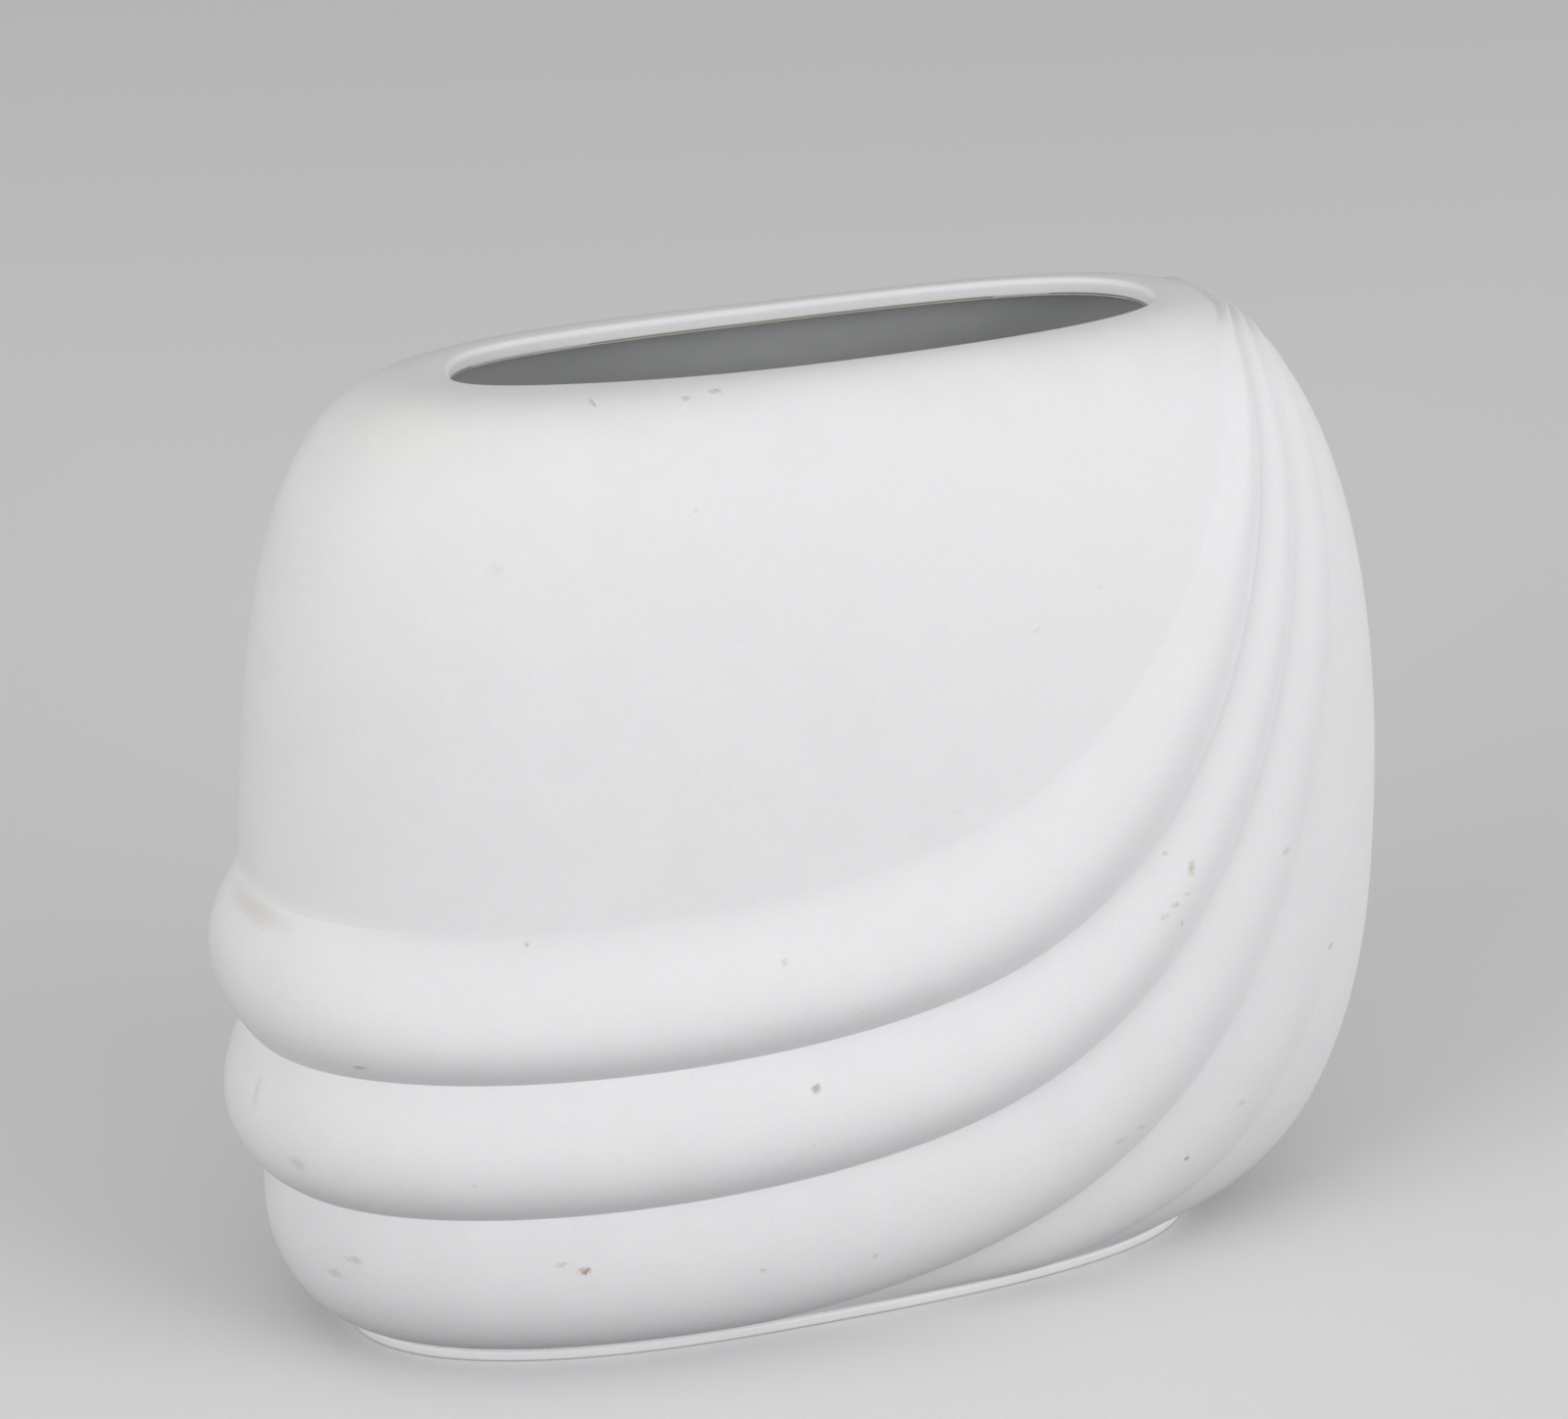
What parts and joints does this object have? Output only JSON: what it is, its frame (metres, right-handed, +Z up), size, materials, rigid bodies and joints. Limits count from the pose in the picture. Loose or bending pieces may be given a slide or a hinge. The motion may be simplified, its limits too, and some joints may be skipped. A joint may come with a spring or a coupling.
{
  "type": "vase",
  "caption": "Flattened pillow-shaped table vase with a long narrow oval mouth, thick wrapped folds round one end and a thin oval foot.",
  "frame": {"origin": "centre of the footprint of the whole vase, on the surface that it stands on", "axes": "+Z up, +X along the vase's width towards the end where the folds fan out, -Y the face in the picture"},
  "size_m": [0.275, 0.1258, 0.225],
  "materials": {
    "bisque": "matt unglazed white porcelain with a fine grain and small scuffs",
    "glaze": "clear glossy glaze over white porcelain"
  },
  "bodies": {
    "root": {"vase_body": "bisque", "foot_ring": "bisque", "inner_glaze": "glaze"}
  },
  "joints": []
}
